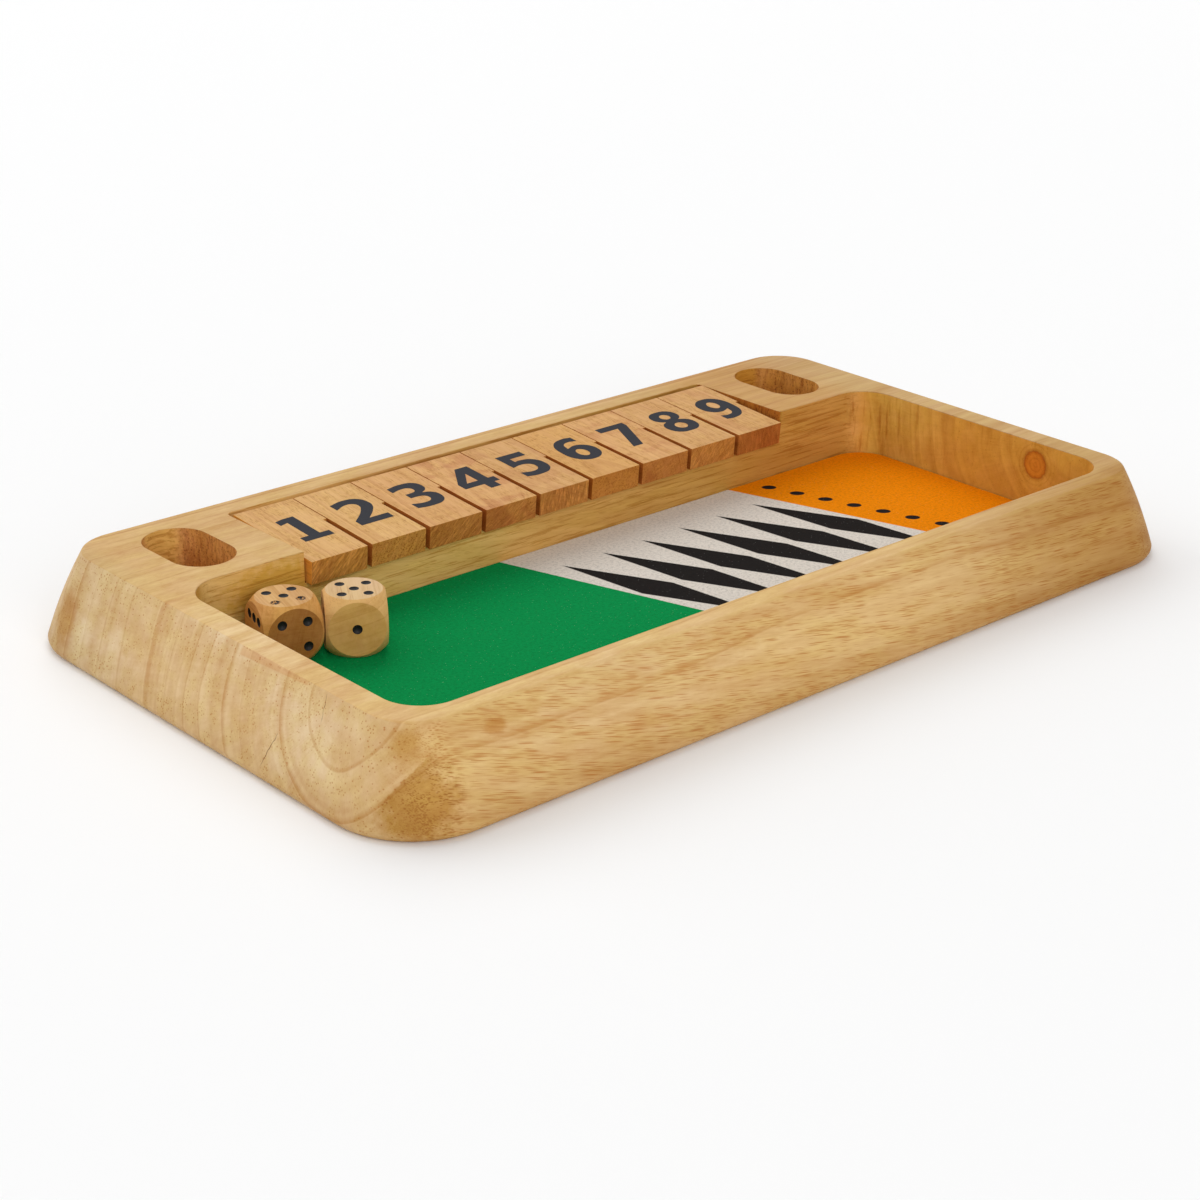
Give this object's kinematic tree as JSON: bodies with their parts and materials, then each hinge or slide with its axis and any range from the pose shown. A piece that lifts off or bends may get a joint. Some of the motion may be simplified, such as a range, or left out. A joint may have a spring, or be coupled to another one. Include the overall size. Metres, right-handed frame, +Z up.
{
  "type": "shut the box game",
  "caption": "Tabletop dice game: a milled wooden tray with flared sides, a row of hinged number tiles that flip up on a hidden rod, a matted play pocket, dice pockets and loose dice.",
  "frame": {"origin": "centre of the flat base, on the table", "axes": "+X along the tile row towards the 9, -Y towards the player, +Z up"},
  "size_m": [0.289, 0.165, 0.0259],
  "materials": {
    "tray_wood": "clear satin lacquer on pale rubberwood",
    "tile_wood": "thin clear lacquer, printed charcoal numerals",
    "dice_wood": "tumbled and waxed, black painted pips",
    "mat_felt": "short-napped felt with a printed pattern",
    "rod_steel": "drawn steel rod, uncoated"
  },
  "bodies": {
    "tray": {"tray": "tray_wood", "felt_mat": "mat_felt", "hinge_rod": "rod_steel"},
    "tile_1": {"tile_1": "tile_wood"},
    "tile_2": {"tile_2": "tile_wood"},
    "tile_3": {"tile_3": "tile_wood"},
    "tile_4": {"tile_4": "tile_wood"},
    "tile_5": {"tile_5": "tile_wood"},
    "tile_6": {"tile_6": "tile_wood"},
    "tile_7": {"tile_7": "tile_wood"},
    "tile_8": {"tile_8": "tile_wood"},
    "tile_9": {"tile_9": "tile_wood"},
    "die_left": {"die_left": "dice_wood"},
    "die_right": {"die_right": "dice_wood"}
  },
  "joints": [
    {"name": "flip_1", "type": "hinge", "parent": "tray", "child": "tile_1", "pos_m": [-0.0784, 0.05875, 0.0222], "axis": [-1, 0, 0], "range_deg": [0, 118]},
    {"name": "flip_2", "type": "hinge", "parent": "tray", "child": "tile_2", "pos_m": [-0.0588, 0.05875, 0.0222], "axis": [-1, 0, 0], "range_deg": [0, 125]},
    {"name": "flip_3", "type": "hinge", "parent": "tray", "child": "tile_3", "pos_m": [-0.0392, 0.05875, 0.0222], "axis": [-1, 0, 0], "range_deg": [0, 125]},
    {"name": "flip_4", "type": "hinge", "parent": "tray", "child": "tile_4", "pos_m": [-0.0196, 0.05875, 0.0222], "axis": [-1, 0, 0], "range_deg": [0, 125]},
    {"name": "flip_5", "type": "hinge", "parent": "tray", "child": "tile_5", "pos_m": [0, 0.05875, 0.0222], "axis": [-1, 0, 0], "range_deg": [0, 125]},
    {"name": "flip_6", "type": "hinge", "parent": "tray", "child": "tile_6", "pos_m": [0.0196, 0.05875, 0.0222], "axis": [-1, 0, 0], "range_deg": [0, 125]},
    {"name": "flip_7", "type": "hinge", "parent": "tray", "child": "tile_7", "pos_m": [0.0392, 0.05875, 0.0222], "axis": [-1, 0, 0], "range_deg": [0, 125]},
    {"name": "flip_8", "type": "hinge", "parent": "tray", "child": "tile_8", "pos_m": [0.0588, 0.05875, 0.0222], "axis": [-1, 0, 0], "range_deg": [0, 125]},
    {"name": "flip_9", "type": "hinge", "parent": "tray", "child": "tile_9", "pos_m": [0.0784, 0.05875, 0.0222], "axis": [-1, 0, 0], "range_deg": [0, 118]},
    {"name": "lift_die_left", "type": "slide", "parent": "tray", "child": "die_left", "axis": [0, 0, 1], "range_m": [0, 0.06]},
    {"name": "lift_die_right", "type": "slide", "parent": "tray", "child": "die_right", "axis": [0, 0, 1], "range_m": [0, 0.06]}
  ]
}
